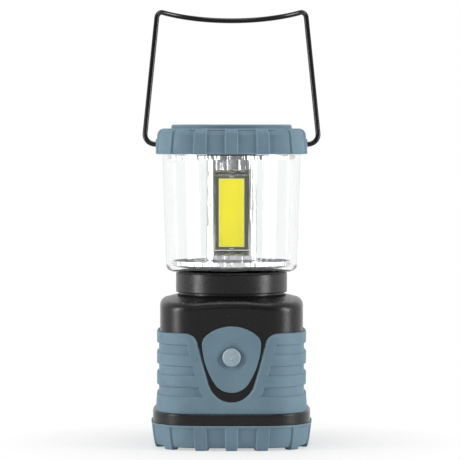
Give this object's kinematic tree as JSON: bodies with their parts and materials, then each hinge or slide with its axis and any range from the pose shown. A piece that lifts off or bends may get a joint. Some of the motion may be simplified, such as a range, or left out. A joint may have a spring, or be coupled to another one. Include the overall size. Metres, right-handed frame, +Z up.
{
  "type": "camping lantern",
  "caption": "Battery camping lantern: square rubber-clad base with a push button, clear round globe over a chromed LED column, booted cap and folding wire bail.",
  "frame": {"origin": "on the lantern's axis at the level of the feet", "axes": "+Z up along the axis, -Y out of the front with the power button, +X to the viewer's right"},
  "size_m": [0.1042, 0.094, 0.2546],
  "materials": {
    "rubber": "matte moulded rubber",
    "black_plastic": "satin moulded plastic",
    "inner_plastic": "plain moulded plastic",
    "clear_plastic": "clear polished polycarbonate",
    "plated_plastic": "bright metallised plastic",
    "button_plastic": "translucent plastic",
    "phosphor": "silicone over phosphor",
    "led_board": "solder mask",
    "circuit_board": "solder mask",
    "aluminium": "as extruded",
    "cell_jacket": "printed sleeve",
    "contact_metal": "nickel plated",
    "fastener": "zinc plated",
    "black_wire": "gloss black coated steel wire",
    "seal": "soft rubber"
  },
  "bodies": {
    "lantern_body": {"housing": "black_plastic", "grip_sleeve": "rubber", "switch_pad": "rubber", "collar": "black_plastic", "collar_screws": "fastener", "globe_seal": "seal", "globe": "clear_plastic", "reflector": "plated_plastic", "led_heat_sink": "aluminium", "led_board_front": "led_board", "led_board_right": "led_board", "led_board_rear": "led_board", "led_board_left": "led_board", "led_phosphor_front": "phosphor", "led_phosphor_right": "phosphor", "led_phosphor_rear": "phosphor", "led_phosphor_left": "phosphor", "led_leads": "black_wire", "top_reflector": "plated_plastic", "cap_shell": "black_plastic", "cap_boot": "rubber", "cap_plate": "rubber", "cap_screws": "fastener", "cell_1": "cell_jacket", "cell_2": "cell_jacket", "cell_3": "cell_jacket", "cell_4": "cell_jacket", "battery_frame": "inner_plastic", "contact_carrier": "inner_plastic", "carrier_screws": "fastener", "top_bridge": "contact_metal", "top_terminal_positive": "contact_metal", "top_terminal_negative": "contact_metal", "top_springs": "contact_metal", "driver_board": "circuit_board", "board_components": "inner_plastic", "switch_board": "circuit_board", "board_screws": "fastener", "tact_switch": "inner_plastic"},
    "button": {"power_button": "button_plastic", "switch_plunger": "inner_plastic"},
    "battery_cover": {"bottom_cover": "black_plastic", "cover_boot": "rubber", "cover_gasket": "seal", "cover_bridge_left": "contact_metal", "cover_bridge_right": "contact_metal", "cover_springs": "contact_metal"},
    "coin_screw": {"cover_screw": "fastener"},
    "handle": {"bail": "black_wire"}
  },
  "joints": [
    {"name": "bail_hinge", "type": "hinge", "parent": "lantern_body", "child": "handle", "pos_m": [0, 0, 0.1753], "axis": [1, 0, 0], "range_deg": [-120, 165]},
    {"name": "button_press", "type": "slide", "parent": "lantern_body", "child": "button", "axis": [0, 1, 0], "range_m": [0, 0.0008], "stiffness_N_per_m": 2500},
    {"name": "cover_lift_off", "type": "slide", "parent": "lantern_body", "child": "battery_cover", "axis": [0, 0, -1], "range_m": [0, 0.045]},
    {"name": "cover_screw_turn", "type": "hinge", "parent": "battery_cover", "child": "coin_screw", "pos_m": [0, 0, 0.004], "axis": [0, 0, 1], "continuous": true}
  ]
}
